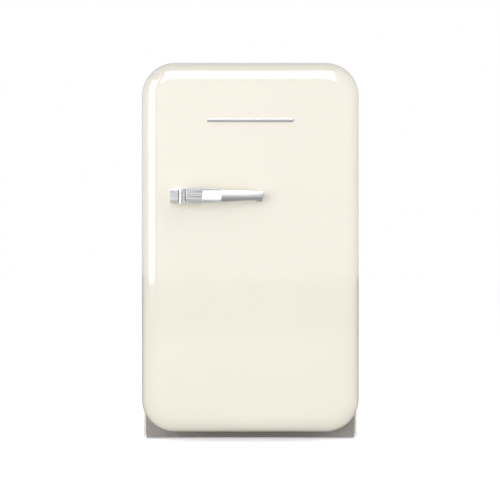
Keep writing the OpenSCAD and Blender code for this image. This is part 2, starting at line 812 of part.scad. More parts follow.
module handle_lever() color("#d4d7da") {
    fork_end = -89;
    cheek_x = pivot_x - 6;
    back = handle_y + 18;
    difference() {
        intersection() {
            slab(handle_y, back) translate([0, handle_z]) polygon([
                [cheek_x, fork_half], [fork_end, fork_half], [face_x[1], 11], [arm_end_x, 7.6],
                [arm_end_x, -7], [face_x[1], -11], [fork_end, -12.6], [fork_end, -fork_half],
                [cheek_x, -fork_half]]);
            translate([0, 0, handle_z - 20]) linear_extrude(40) {
                translate([pivot_x, pivot_y]) circle(6);
                translate([pivot_x, pivot_y - 6]) square([20, 12]);
                polygon([[lever_x, handle_y + 1.6], [face_x[1] - 2, handle_y], [0, handle_y + 1],
                    [arm_end_x, handle_y + 5], [arm_end_x, handle_y + 15], [face_x[1], back],
                    [lever_x, back - 1]]);
            }
        }
        block([pivot_x - 20, handle_y - 1, handle_z - block_h / 2 - 0.2],
            [lever_x, door_y, handle_z + block_h / 2 + 0.2]);
        block([lever_x - 1, handle_y - 1, handle_z - block_h / 2 + 0.6],
            [face_x[1], handle_y + 3.4, handle_z + block_h / 2 - 0.6]);
        rod_z([pivot_x, pivot_y, handle_z - 20], 40, lever_pin_d + 2 * running_gap);
    }
    block([arm_end_x - 12, handle_y + 14, handle_z - 9.8], [arm_end_x, door_y - 2, handle_z + 6.4]);
}

module lever_face() color("#e9ebec") {
    half = block_h / 2 - 0.6;
    rib_end = -88.5;
    difference() {
        block([face_x[0], handle_y + 0.4, handle_z - half], [face_x[1], handle_y + 3.4, handle_z + half]);
        for (i = [-2:2])
            rod_x([face_x[0] - 1, handle_y - 0.5, handle_z + i * 2 * half / 5], rib_end - face_x[0] + 1, 3);
    }
}

// ---- Loose fittings ----

module shelf_glass(z) color([0.8, 0.92, 0.9, 0.45]) {
    half = cavity_w / 2 - 2.5;
    block([-half, shelf_front_y + 4, z], [half, shelf_back_y - 4, z + glass_t]);
}

module shelf_trim(z) color("#eceded") {
    half = cavity_w / 2 - 2.5;
    short = cavity_w / 2 - rib_w - 1;
    for (y = [[shelf_front_y, shelf_front_y + 10], [shelf_back_y - 10, shelf_back_y]]) difference() {
        union() {
            block([-half, y[0], z], [half, y[1], z + glass_t + 2]);
            block([-short, y[0], z - 2.5], [short, y[1], z]);
        }
        block([-half - 1, shelf_front_y + 4, z], [half + 1, shelf_back_y - 4, z + glass_t]);
    }
}

module lower_shelf_glass() shelf_glass(lower_shelf_z);
module lower_shelf_trim() shelf_trim(lower_shelf_z);
module upper_shelf_glass() shelf_glass(upper_shelf_z);
module upper_shelf_trim() shelf_trim(upper_shelf_z);

module balcony(z) color([0.88, 0.93, 0.95, 0.6]) {
    back = door_back_y + 1;
    front = door_back_y + balcony_reach;
    half = balcony_w / 2;
    slot_w = lug_w + 0.6;
    difference() {
        translate([0, 0, z]) linear_extrude(balcony_h) balcony_outline(half, back, front, 16);
        translate([0, 0, z + wall_t]) linear_extrude(balcony_h)
            balcony_outline(half - wall_t, back + wall_t, front - wall_t, 16 - wall_t);
        block([-half + 24, back - 1, z + 26], [half - 24, back + wall_t + 1, z + balcony_h + 1]);
        for (s = [0, 1]) mirror([s, 0, 0])
            block([half - 5, lug_y - 0.3, z - 1], [half + 1, lug_y - 0.3 + slot_w, z + 26]);
    }
    for (s = [0, 1]) mirror([s, 0, 0]) difference() {
        block([half - wall_t, front - 28, z + balcony_h], [half, front - 16, z + balcony_h + 26]);
        rod_x([half - 5, front - 22, z + balcony_h + 19], 8, 5);
    }
}

module balcony_outline(half, back, front, r) {
    translate([-half, back]) square([2 * half, front - back - r]);
    translate([-half + r, back]) square([2 * half - 2 * r, front - back]);
    for (x = [-half + r, half - r]) translate([x, front - r]) circle(r);
}

module balcony_rail(z) color("#d4d7da") {
    half = balcony_w / 2;
    front = door_back_y + balcony_reach;
    rod_x([-half, front - 22, z + balcony_h + 19], 2 * half, 5);
}

module lower_balcony() balcony(lower_balcony_z);
module lower_balcony_rail() balcony_rail(lower_balcony_z);
module upper_balcony() balcony(upper_balcony_z);
module upper_balcony_rail() balcony_rail(upper_balcony_z);

module thermostat_knob() color("#f0f0ee") {
    z = control_z + 17;
    front = control_y[0] - 14;
    difference() {
        union() {
            rod_y([knob_x, front, z], 13.6, 28);
            rod_y([knob_x, control_y[0] - 0.4, z], 12, 6);
        }
        for (a = [0:30:330]) translate([knob_x, 0, z]) rotate([0, a, 0])
            rod_y([15.2, front - 1, 0], 11, 4);
        block([knob_x - 0.8, front - 1, z + 4], [knob_x + 0.8, front + 0.8, z + 12]);
    }
}

outer_wrap();
front_flange();
rear_panel();
base_panel();
base_rails();
plinth();
inner_liner();
cabinet_foam();
cold_plate();
drip_tray();
control_housing();
lamp_lens();
lamp_board();
reed_switch();
upper_cabinet_leaf();
lower_cabinet_leaf();
hinge_pins();
cabinet_leaf_screws();
foot_nuts();
rear_glides();
boiler_jacket();
solution_tank();
absorber_coil();
riser_pipe();
condenser_tube();
condenser_fins();
cold_pipes();
unit_brackets();
drain_tube();
junction_box();
junction_cover();
cord_gland();
cover_screws();
bracket_screws();
door_skin();
door_foam();
door_liner();
door_gasket();
upper_door_leaf();
lower_door_leaf();
door_leaf_screws();
handle_base();
handle_pin();
handle_screws();
lever_spring();
badge_strip();
switch_magnet();
handle_lever();
lever_face();
upper_shelf_glass();
upper_shelf_trim();
lower_shelf_glass();
lower_shelf_trim();
upper_balcony();
upper_balcony_rail();
lower_balcony();
lower_balcony_rail();
thermostat_knob();
left_foot();
right_foot();
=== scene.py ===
"""A small retro refrigerator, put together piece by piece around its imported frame.

The door faces -Y and hangs on +X. Everything is in metres, and places and overall sizes come
from the frame's own boxes.
"""
import math

import bmesh
import bpy
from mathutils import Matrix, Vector


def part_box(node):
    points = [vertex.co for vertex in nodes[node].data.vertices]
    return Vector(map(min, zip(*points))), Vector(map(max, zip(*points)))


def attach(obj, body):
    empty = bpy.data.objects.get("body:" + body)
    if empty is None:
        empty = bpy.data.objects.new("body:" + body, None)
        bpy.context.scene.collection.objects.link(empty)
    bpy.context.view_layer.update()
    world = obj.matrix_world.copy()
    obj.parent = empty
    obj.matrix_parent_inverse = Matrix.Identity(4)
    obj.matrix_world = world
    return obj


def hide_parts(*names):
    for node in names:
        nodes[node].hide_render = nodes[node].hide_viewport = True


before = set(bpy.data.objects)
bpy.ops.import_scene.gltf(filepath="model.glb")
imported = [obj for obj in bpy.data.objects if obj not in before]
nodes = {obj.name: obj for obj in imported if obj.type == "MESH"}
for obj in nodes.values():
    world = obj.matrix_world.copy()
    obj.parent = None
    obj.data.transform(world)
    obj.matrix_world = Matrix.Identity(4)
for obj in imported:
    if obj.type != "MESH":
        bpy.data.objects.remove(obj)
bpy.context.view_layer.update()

# ---------------------------------------------------------------------------------------------
# Outer wrap: one sheet of painted steel folded over the cabinet like an upturned U. Its front
# edge is turned in as a narrow lip, and its rear edge is hemmed. It is sprayed with cream enamel.

wrap_corner = 0.062
sheet = 0.0012
wrap_lip = 0.004
wrap_hem = 0.007
wrap_edge = 0.0014
skin_corners = 8
smooth_below = math.radians(32)
cream = (0.900, 0.860, 0.752, 1)


def middle(part):
    """Middle point of a face, an edge or a vertex."""
    if isinstance(part, bmesh.types.BMFace):
        return part.calc_center_median()
    if isinstance(part, bmesh.types.BMEdge):
        return (part.verts[0].co + part.verts[1].co) / 2
    return part.co


def along(edge, axis):
    """Whether an edge runs along an axis, given as 0, 1 or 2."""
    run = edge.verts[1].co - edge.verts[0].co
    return abs(run[axis]) > 0.98 * run.length


def pick(kind, test):
    """Selects the faces, edges or vertices of the piece in edit mode that pass a test."""
    bpy.ops.mesh.select_mode(type=kind)
    bpy.ops.mesh.select_all(action="DESELECT")
    mesh = bmesh.from_edit_mesh(bpy.context.object.data)
    for part in {"FACE": mesh.faces, "EDGE": mesh.edges, "VERT": mesh.verts}[kind]:
        if test(part):
            part.select_set(True)
    mesh.select_flush_mode()
    bmesh.update_edit_mesh(bpy.context.object.data)


def in_plane(axis, place, slack=0.00002):
    """A test for parts that lie wholly in the plane where the axis has that value."""
    def test(part):
        corners = [part] if isinstance(part, bmesh.types.BMVert) else part.verts
        return all(abs(corner.co[axis] - place) < slack for corner in corners)
    return test


def start_box(name, low, high):
    """Adds a box between two corners and opens it in edit mode."""
    bpy.ops.object.select_all(action="DESELECT")
    low, high = Vector(low), Vector(high)
    bpy.ops.mesh.primitive_cube_add(size=1, location=(low + high) / 2, scale=high - low)
    bpy.ops.object.transform_apply(location=True, rotation=True, scale=True)
    bpy.context.object.name = name
    bpy.ops.object.mode_set(mode="EDIT")
    return bpy.context.object


def bevel(width, steps):
    """Rounds the selected edges."""
    bpy.ops.mesh.bevel(offset=width, segments=steps, affect="EDGES", clamp_overlap=False)


def modify(piece, kind, **settings):
    """Adds a modifier, sets it and applies it."""
    modifier = piece.modifiers.new(kind.title(), kind)
    for setting, value in settings.items():
        setattr(modifier, setting, value)
    bpy.ops.object.modifier_apply(modifier=modifier.name)


def close(piece, material):
    """Smooths the rounded stretches of a piece and gives it its material."""
    bpy.ops.object.select_all(action="DESELECT")
    piece.select_set(True)
    bpy.context.view_layer.objects.active = piece
    bpy.ops.object.shade_smooth_by_angle(angle=smooth_below)
    modify(piece, "WEIGHTED_NORMAL", keep_sharp=True)
    piece.data.materials.clear()
    piece.data.materials.append(material)


def finish(piece, material, node, body, slot):
    """Closes a piece that stands for a node, and says what it rides on and its finish."""
    close(piece, material)
    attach(piece, body)
    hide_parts(node)


def new_group(name, inputs, outputs):
    """An empty shader group with the named sockets, and its input and output nodes."""
    tree = bpy.data.node_groups.new(name, "ShaderNodeTree")
    for label, kind, value in inputs:
        socket = tree.interface.new_socket(label, in_out="INPUT", socket_type=kind)
        socket.default_value = value
    for label, kind in outputs:
        tree.interface.new_socket(label, in_out="OUTPUT", socket_type=kind)
    return tree, tree.nodes.new("NodeGroupInput"), tree.nodes.new("NodeGroupOutput")


def add_node(tree, kind, links=None, **values):
    """Adds a node, sets its inputs by name or number, and links what links names."""
    node = tree.nodes.new("ShaderNode" + kind)
    for key, value in values.items():
        if key in ("operation", "data_type"):
            setattr(node, key, value)
        else:
            node.inputs[key.replace("_", " ")].default_value = value
    for key, output in (links or {}).items():
        tree.links.new(output, node.inputs[key])
    return node


COLOUR, VALUE, VECTOR = "NodeSocketColor", "NodeSocketFloat", "NodeSocketVector"
FINISH_OUTPUTS = [("Colour", COLOUR), ("Roughness", VALUE), ("Height", VALUE)]


def shaded(tree, colour, factor):
    """A colour made lighter or darker by a factor."""
    return add_node(tree, "HueSaturation", {"Color": colour, "Value": factor}).outputs[0]


def spread(tree, value, low, high, to_low, to_high):
    """Maps a value from one range to another, where the new limits may be sockets."""
    node = add_node(tree, "MapRange", {"Value": value}, From_Min=low, From_Max=high)
    for key, limit in (("To Min", to_low), ("To Max", to_high)):
        if isinstance(limit, (int, float)):
            node.inputs[key].default_value = limit
        else:
            tree.links.new(limit, node.inputs[key])
    return node.outputs[0]


def maths(tree, operation, first, second):
    """One sum on two values, each a number or a socket."""
    node = add_node(tree, "Math", operation=operation)
    for place, value in enumerate((first, second)):
        if isinstance(value, (int, float)):
            node.inputs[place].default_value = value
        else:
            tree.links.new(value, node.inputs[place])
    return node.outputs[0]


def blended(tree, amount, first, second):
    """Two colours mixed by an amount, each a colour or a socket."""
    node = add_node(tree, "Mix", data_type="RGBA")
    tree.links.new(amount, node.inputs[0])
    for place, value in ((6, first), (7, second)):
        if isinstance(value, tuple):
            node.inputs[place].default_value = value
        else:
            tree.links.new(value, node.inputs[place])
    return node.outputs[2]


def noise(group, place, detail, scale):
    """Fractal noise at a place, where the scale may be a socket."""
    links = {"Vector": place}
    if isinstance(scale, (int, float)):
        return add_node(group, "TexNoise", links, Scale=scale, Detail=detail).outputs[0]
    return add_node(group, "TexNoise", {**links, "Scale": scale}, Detail=detail).outputs[0]


# The dust group: fine household dust that settles on faces that look up.
dust_group, ends_in, ends_out = new_group(
    "settled_dust", [("Amount", VALUE, 0.3)], [("Mask", VALUE)])
looks_up = add_node(dust_group, "SeparateXYZ",
                    {0: add_node(dust_group, "NewGeometry").outputs["Normal"]}).outputs[2]
dust_place = add_node(dust_group, "TexCoord").outputs["Object"]
specks = noise(dust_group, dust_place, 4.0, 160.0)
drifts = noise(dust_group, dust_place, 3.0, 9.0)
dust_mask = maths(dust_group, "MULTIPLY", spread(dust_group, looks_up, 0.7, 1.0, 0.0, 1.0),
                  spread(dust_group, specks, 0.35, 0.75, 0.2, 1.0))
dust_mask = maths(dust_group, "MULTIPLY", dust_mask,
                  spread(dust_group, drifts, 0.3, 0.7, 0.3, 1.0))
dust_mask = maths(dust_group, "MULTIPLY", dust_mask, ends_in.outputs["Amount"])
dust_group.links.new(dust_mask, ends_out.inputs["Mask"])


def dusted(group, inputs, colour, tint):
    """A colour under dust, by the group's own Dust value, and the mask of that dust."""
    dust = add_node(group, "Group")
    dust.node_tree = dust_group
    group.links.new(inputs.outputs["Dust"], dust.inputs["Amount"])
    return blended(group, dust.outputs["Mask"], colour, tint), dust.outputs["Mask"]


def give(group, outputs, *results):
    """Links a finish group's colour, roughness and height to its outputs."""
    for result, output in zip(results, FINISH_OUTPUTS):
        group.links.new(result, outputs.inputs[output[0]])


# The sprayed finish group: enamel with a fine orange peel, a slight change of tone over
# a panel, faint smudges in its gloss, and dust on top.
spray_group, ends_in, ends_out = new_group("sprayed_enamel", [
    ("Colour", COLOUR, cream), ("Roughness", VALUE, 0.07), ("Tone", VALUE, 0.012),
    ("Peel", VALUE, 320.0), ("Dust", VALUE, 0.15)], FINISH_OUTPUTS)
spray_place = add_node(spray_group, "TexCoord").outputs["Object"]
tone = noise(spray_group, spray_place, 2.0, 3.2)
tone_low = maths(spray_group, "SUBTRACT", 1.0, ends_in.outputs["Tone"])
tone_high = maths(spray_group, "ADD", 1.0, ends_in.outputs["Tone"])
sprayed = shaded(spray_group, ends_in.outputs["Colour"],
                 spread(spray_group, tone, 0.3, 0.7, tone_low, tone_high))
sprayed, dust = dusted(spray_group, ends_in, sprayed, (0.52, 0.49, 0.43, 1))
smudge = noise(spray_group, spray_place, 4.0, 14.0)
gloss = maths(spray_group, "ADD", ends_in.outputs["Roughness"],
              spread(spray_group, smudge, 0.35, 0.7, -0.02, 0.04))
gloss = maths(spray_group, "ADD", gloss, dust)
peel = noise(spray_group, spray_place, 1.0, ends_in.outputs["Peel"])
give(spray_group, ends_out, sprayed, gloss, peel)


def finish_material(name, group, values, bump=0.0001, strength=0.3, **shader):
    """A material whose colour, roughness and bump come from a finish group. The shader's
    own values, the same all over, are given by their socket's name."""
    material = bpy.data.materials.new(name)
    material.use_nodes = True
    tree = material.node_tree
    principled = tree.nodes["Principled BSDF"]
    finish = tree.nodes.new("ShaderNodeGroup")
    finish.node_tree = group
    for label, value in values.items():
        finish.inputs[label].default_value = value
    relief = add_node(tree, "Bump", {"Height": finish.outputs["Height"]},
                      Strength=strength, Distance=bump)
    tree.links.new(finish.outputs["Colour"], principled.inputs["Base Color"])
    tree.links.new(finish.outputs["Roughness"], principled.inputs["Roughness"])
    tree.links.new(relief.outputs[0], principled.inputs["Normal"])
    for label, value in shader.items():
        principled.inputs[label.replace("_", " ")].default_value = value
    return material


cream_enamel = finish_material("cream_enamel", spray_group, {"Colour": cream}, bump=0.00006,
                               strength=0.15, Coat_Weight=1.0, Coat_Roughness=0.02)

wrap_low, wrap_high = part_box("outer_wrap")
wrap = start_box("outer_wrap_sheet", wrap_low, wrap_high)
pick("EDGE", lambda edge: along(edge, 1) and middle(edge).z > wrap_high.z - 0.001)
bevel(wrap_corner, 20)
for end_y, turned_in in ((wrap_low.y, wrap_lip), (wrap_high.y, wrap_hem)):
    pick("FACE", in_plane(1, end_y))
    bpy.ops.mesh.inset(thickness=turned_in, use_even_offset=True)
    pick("FACE", lambda face: in_plane(1, end_y)(face) and len(face.verts) > skin_corners)
    bpy.ops.mesh.delete(type="FACE")
pick("FACE", lambda face: middle(face).z < wrap_low.z + wrap_hem)
bpy.ops.mesh.delete(type="FACE")
pick("EDGE", lambda edge: not edge.is_boundary and any(
    in_plane(1, end_y)(edge) and len(edge.link_faces) == 2
    and abs(edge.link_faces[0].normal.y) + abs(edge.link_faces[1].normal.y) < 1.5
    for end_y in (wrap_low.y, wrap_high.y)))
bevel(wrap_edge, 3)
bpy.ops.object.mode_set(mode="OBJECT")
modify(wrap, "SOLIDIFY", thickness=sheet, offset=-1, use_even_offset=True)
finish(wrap, cream_enamel, "outer_wrap", "cabinet", "cream_enamel")

# ---------------------------------------------------------------------------------------------
# Front flange: the flat steel face that the magnetic gasket closes on, enamelled a plain white
# before the liner is clipped behind it.

flange_white = finish_material(
    "flange_enamel", spray_group,
    {"Colour": (0.80, 0.785, 0.72, 1), "Roughness": 0.22, "Tone": 0.02, "Peel": 500.0},
    bump=0.00005, strength=0.2, Coat_Weight=0.2)


def paint(material, *names):
    """Gives frame nodes that keep their own shape a finish."""
    for name in names:
        nodes[name].data.materials.clear()
        nodes[name].data.materials.append(material)


paint(flange_white, "front_flange")

# ---------------------------------------------------------------------------------------------
# Rear panel, base panel, base rails and foot nuts: galvanised sheet with its spangle left bare,
# folded and spot welded. Unit brackets are cut from the same sheet.

zinc_group, ends_in, ends_out = new_group("galvanised_sheet", [
    ("Colour", COLOUR, (0.55, 0.57, 0.58, 1)), ("Roughness", VALUE, 0.38),
    ("Spangle", VALUE, 105.0), ("Contrast", VALUE, 0.13), ("Dust", VALUE, 0.3)], FINISH_OUTPUTS)
zinc_place = add_node(zinc_group, "TexCoord").outputs["Object"]
bent = add_node(zinc_group, "TexNoise", {"Vector": zinc_place}, Scale=40.0, Detail=2.0).outputs[1]
bent = add_node(zinc_group, "VectorMath", {0: bent}, operation="SCALE", Scale=0.012).outputs[0]
bent = add_node(zinc_group, "VectorMath", {0: zinc_place, 1: bent}, operation="ADD").outputs[0]
crystals = add_node(zinc_group, "TexVoronoi",
                    {"Vector": bent, "Scale": ends_in.outputs["Spangle"]})
crystal_tone = add_node(zinc_group, "SeparateColor", {0: crystals.outputs["Color"]}).outputs[0]
low_tone = maths(zinc_group, "SUBTRACT", 1.0, ends_in.outputs["Contrast"])
high_tone = maths(zinc_group, "ADD", 1.0, ends_in.outputs["Contrast"])
zinc = shaded(zinc_group, ends_in.outputs["Colour"],
              spread(zinc_group, crystal_tone, 0.0, 1.0, low_tone, high_tone))
zinc = dusted(zinc_group, ends_in, zinc, (0.36, 0.34, 0.3, 1))[0]
zinc_gloss = maths(zinc_group, "ADD", ends_in.outputs["Roughness"],
                   spread(zinc_group, crystal_tone, 0.0, 1.0, -0.08, 0.12))
give(zinc_group, ends_out, zinc, zinc_gloss, crystal_tone)

galvanised = finish_material("galvanised_steel", zinc_group, {}, bump=0.00004, Metallic=0.85)
paint(galvanised, "rear_panel", "base_panel", "base_rails", "foot_nuts", "unit_brackets")

# ---------------------------------------------------------------------------------------------
# Plinth: a grey moulded kick plate clipped between the side walls. Its face has the fine level
# lines of its mould, and its edges are slightly rounded and rubbed lighter.

mould_group, ends_in, ends_out = new_group("moulded_plastic", [
    ("Colour", COLOUR, (0.8, 0.8, 0.8, 1)), ("Roughness", VALUE, 0.4), ("Grain", VALUE, 900.0),
    ("Lines", VALUE, 0.0), ("Wear", VALUE, 0.1), ("Dust", VALUE, 0.2)], FINISH_OUTPUTS)
mould_place = add_node(mould_group, "TexCoord").outputs["Object"]
flow = noise(mould_group, mould_place, 3.0, 7.0)
moulded = shaded(mould_group, ends_in.outputs["Colour"],
                 spread(mould_group, flow, 0.3, 0.7, 0.994, 1.006))
squeezed = add_node(mould_group, "Mapping", {"Vector": mould_place})
squeezed.inputs["Scale"].default_value = (6.0, 6.0, 900.0)
streaks = noise(mould_group, squeezed.outputs[0], 3.0, 1.0)
lines = maths(mould_group, "MULTIPLY", spread(mould_group, streaks, 0.3, 0.7, -1.0, 1.0),
              ends_in.outputs["Lines"])
moulded = shaded(mould_group, moulded, maths(mould_group, "ADD", 1.0, lines))
edges = add_node(mould_group, "NewGeometry").outputs["Pointiness"]
scuffs = noise(mould_group, mould_place, 4.0, 130.0)
rubbed = maths(mould_group, "MULTIPLY", spread(mould_group, edges, 0.52, 0.6, 0.0, 1.0),
               spread(mould_group, scuffs, 0.4, 0.65, 0.2, 1.0))
rubbed = maths(mould_group, "MULTIPLY", rubbed, ends_in.outputs["Wear"])
moulded = shaded(mould_group, moulded, maths(mould_group, "ADD", 1.0, rubbed))
moulded = dusted(mould_group, ends_in, moulded, (0.45, 0.43, 0.39, 1))[0]
grain = noise(mould_group, mould_place, 2.0, ends_in.outputs["Grain"])
mould_gloss = maths(mould_group, "ADD", ends_in.outputs["Roughness"],
                    spread(mould_group, flow, 0.3, 0.7, -0.02, 0.02))
grain = maths(mould_group, "ADD", grain, lines)
give(mould_group, ends_out, moulded, mould_gloss, grain)

plinth_grey = finish_material("plinth_grey", mould_group, {
    "Colour": (0.35, 0.328, 0.312, 1), "Roughness": 0.42, "Lines": 0.05, "Wear": 0.25,
    "Dust": 0.5}, bump=0.00005, strength=0.35)
merge_within = 0.000002
same_plane = math.radians(0.5)


def round_edges(piece, width, steps, angle):
    """Rounds the edges of a piece that turn by more than an angle in degrees."""
    modify(piece, "BEVEL", width=width, segments=steps, limit_method="ANGLE",
           angle_limit=math.radians(angle))


def soften(name, node, width, steps=2, angle=35, shape=None):
    """A copy of a frame node, merged into one skin, with its sharp edges rounded. The shape
    is a step that reworks the skin in edit mode first."""
    bpy.ops.object.select_all(action="DESELECT")
    piece = nodes[node].copy()
    piece.data = nodes[node].data.copy()
    for key in list(piece.keys()):
        del piece[key]
    piece.name = name
    piece.parent = None
    bpy.context.scene.collection.objects.link(piece)
    piece.select_set(True)
    bpy.context.view_layer.objects.active = piece
    bpy.ops.mesh.customdata_custom_splitnormals_clear()
    bpy.ops.object.mode_set(mode="EDIT")
    bpy.ops.mesh.select_all(action="SELECT")
    bpy.ops.mesh.remove_doubles(threshold=merge_within)
    bpy.ops.mesh.dissolve_limited(angle_limit=same_plane)
    if shape:
        shape()
    bpy.ops.object.mode_set(mode="OBJECT")
    round_edges(piece, width, steps, angle)
    return piece


finish(soften("kick_plate", "plinth", 0.0008, 3), plinth_grey, "plinth", "cabinet", "plinth_grey")

# ---------------------------------------------------------------------------------------------
# Inner liner: a deep tub vacuum formed from white plastic, so every corner is round. Its flange
# tucks behind the front flange, and two pairs of ribs carry the glass shelves.

liner_white = finish_material("liner_white", mould_group, {
    "Colour": (0.83, 0.84, 0.83, 1), "Roughness": 0.31, "Grain": 700.0, "Wear": 0.0, "Dust": 0.05},
    bump=0.00003, strength=0.25)


def start_sheet(name, low_x, high_x, low_z, high_z, y, corner, steps):
    """Adds a flat upright sheet with rounded corners, facing -Y, and opens it in edit mode."""
    bpy.ops.object.select_all(action="DESELECT")
    bpy.ops.mesh.primitive_plane_add(size=1, rotation=(math.radians(90), 0, 0),
                                     location=((low_x + high_x) / 2, y, (low_z + high_z) / 2))
    bpy.context.object.scale = (high_x - low_x, high_z - low_z, 1)
    bpy.ops.object.transform_apply(location=True, rotation=True, scale=True)
    bpy.context.object.name = name
    bpy.ops.object.mode_set(mode="EDIT")
    bpy.ops.mesh.select_all(action="SELECT")
    bpy.ops.mesh.bevel(offset=corner, segments=steps, affect="VERTICES", clamp_overlap=False)
    return bpy.context.object


liner_wall = 0.0015
liner_flange = 0.008
tub_corner = 0.012
tub_mouth = 0.002
rib_reach = 0.010
rib_tall = 0.004
rib_before_shelf = 0.021
rib_edge = 0.0012
trim_below_rib = 0.0025
liner_low, liner_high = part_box("inner_liner")
liner = start_sheet("liner_tub", liner_low.x, liner_high.x, liner_low.z, liner_high.z,
                    liner_low.y, tub_corner + liner_flange, 8)
bpy.ops.mesh.inset(thickness=liner_flange, use_even_offset=True)
pick("FACE", lambda face: len(face.verts) > skin_corners)
back_y = liner_high.y - liner_wall
bpy.ops.mesh.extrude_region_move(TRANSFORM_OT_translate={"value": (0, back_y - liner_low.y, 0)})
pick("EDGE", in_plane(1, back_y))
bevel(tub_corner, 8)
pick("EDGE", lambda edge: in_plane(1, liner_low.y)(edge) and not edge.is_boundary
     and len({round(face.normal.y, 1) for face in edge.link_faces}) > 1)
bevel(tub_mouth, 4)
bpy.ops.mesh.select_all(action="SELECT")
bpy.ops.mesh.normals_make_consistent(inside=False)
bpy.ops.object.mode_set(mode="OBJECT")
modify(liner, "SOLIDIFY", thickness=liner_wall, offset=0, use_even_offset=True)
for side in (-1, 1):
    for trim in ("lower_shelf_trim", "upper_shelf_trim"):
        shelf_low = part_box(trim)[0]
        wall_x = side * (liner_high.x - liner_flange)
        free_x = wall_x - side * rib_reach
        top_z = shelf_low.z + trim_below_rib
        front_y = shelf_low.y - rib_before_shelf
        start_box("shelf_rib", (min(wall_x, free_x), front_y, top_z - rib_tall),
                  (max(wall_x, free_x), back_y, top_z))
        pick("EDGE", in_plane(0, free_x))
        bevel(rib_edge, 3)
        bpy.ops.object.mode_set(mode="OBJECT")
        liner.select_set(True)
        bpy.context.view_layer.objects.active = liner
        bpy.ops.object.join()
finish(liner, liner_white, "inner_liner", "cabinet", "liner_white")

# ---------------------------------------------------------------------------------------------
# Foam: the rigid yellow foam that is poured between the steel and the liners, hidden once the
# fridge is built, with the fine open cells of a cut face.

foam_yellow = finish_material("poured_foam", mould_group, {
    "Colour": (0.72, 0.58, 0.32, 1), "Roughness": 0.85, "Grain": 1400.0, "Wear": 0.0},
    bump=0.0006, strength=0.7)
paint(foam_yellow, "cabinet_foam", "door_foam")

# ---------------------------------------------------------------------------------------------
# Cold plate and drip tray: an extruded aluminium plate with upright fins, screwed to the cold
# pipes behind the liner, and the moulded gutter below it that leads the thaw water away.

metal_group, ends_in, ends_out = new_group("worked_metal", [
    ("Colour", COLOUR, (0.8, 0.8, 0.8, 1)), ("Roughness", VALUE, 0.1),
    ("Stretch", VECTOR, (40, 40, 40)), ("Grain", VALUE, 0.03), ("Tarnish", VALUE, 0.1),
    ("Dust", VALUE, 0.1)], FINISH_OUTPUTS)
metal_place = add_node(metal_group, "TexCoord").outputs["Object"]
stretched = add_node(metal_group, "VectorMath", {0: metal_place, 1: ends_in.outputs["Stretch"]},
                     operation="MULTIPLY").outputs[0]
hairs = noise(metal_group, stretched, 3.0, 30.0)
hairs = maths(metal_group, "MULTIPLY", spread(metal_group, hairs, 0.3, 0.7, -1.0, 1.0),
              ends_in.outputs["Grain"])
clouds = noise(metal_group, metal_place, 4.0, 55.0)
clouds = spread(metal_group, clouds, 0.42, 0.7, 0.0, 1.0)
clouds = maths(metal_group, "MULTIPLY", clouds, ends_in.outputs["Tarnish"])
metal_colour = shaded(metal_group, ends_in.outputs["Colour"],
                      maths(metal_group, "ADD", 1.0, hairs))
metal_colour = blended(metal_group, clouds, metal_colour, (0.33, 0.31, 0.29, 1))
metal_colour, dust = dusted(metal_group, ends_in, metal_colour, (0.42, 0.4, 0.37, 1))
metal_gloss = maths(metal_group, "ADD", ends_in.outputs["Roughness"], hairs)
metal_gloss = maths(metal_group, "ADD", metal_gloss, maths(metal_group, "ADD", clouds, dust))
give(metal_group, ends_out, metal_colour, metal_gloss, hairs)

brushed_aluminium = finish_material("brushed_aluminium", metal_group, {
    "Colour": (0.68, 0.7, 0.71, 1), "Roughness": 0.32, "Stretch": (60, 60, 3), "Grain": 0.07,
    "Tarnish": 0.12}, bump=0.00004, Metallic=1.0)
white_plastic = finish_material("white_plastic", mould_group, {
    "Colour": (0.86, 0.865, 0.86, 1), "Roughness": 0.3, "Grain": 1100.0, "Wear": 0.03,
    "Dust": 0.05}, bump=0.00004, strength=0.3)
finish(soften("finned_plate", "cold_plate", 0.00035, 2), brushed_aluminium, "cold_plate",
       "cabinet", "cold_aluminium")
finish(soften("thaw_gutter", "drip_tray", 0.0009, 3), white_plastic, "drip_tray", "cabinet",
       "white_plastic")

# ---------------------------------------------------------------------------------------------
# Control housing: a white moulding under the ceiling with the lamp and the thermostat. The lens
# is a ribbed diffuser that snaps in from below, over a strip of lamps on a small board.

finish(soften("control_cover", "control_housing", 0.0016, 4), white_plastic, "control_housing",
       "cabinet", "white_plastic")
lens_plastic = finish_material("lamp_diffuser", mould_group, {
    "Colour": (0.9, 0.93, 0.94, 1), "Roughness": 0.22, "Wear": 0.0, "Dust": 0.0}, bump=0.00003,
    Transmission_Weight=0.55, IOR=1.49)


def cut(place, normal):
    """Cuts the whole piece in edit mode with a plane, and keeps both sides."""
    bpy.ops.mesh.select_all(action="SELECT")
    bpy.ops.mesh.bisect(plane_co=place, plane_no=normal)


near = 0.0001
lens_ribs = 18
rib_depth = 0.0011
lens_margin = Vector((0.0018, 0.0018, 0))
lens_low, lens_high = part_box("lamp_lens")
lens_low, lens_high = lens_low + lens_margin, lens_high - lens_margin
lens = start_box("ribbed_lens", lens_low, lens_high)
half_rib = (lens_high.x - lens_low.x) / lens_ribs / 2
for step in range(1, 2 * lens_ribs):
    cut((lens_low.x + step * half_rib, 0, 0), (1, 0, 0))
pick("VERT", lambda corner: corner.co.z < lens_low.z + near
     and round((corner.co.x - lens_low.x) / half_rib) % 2 == 0)
bpy.ops.transform.translate(value=(0, 0, rib_depth))
bpy.ops.object.mode_set(mode="OBJECT")
round_edges(lens, 0.0004, 2, angle=25)
finish(lens, lens_plastic, "lamp_lens", "cabinet", "lens")

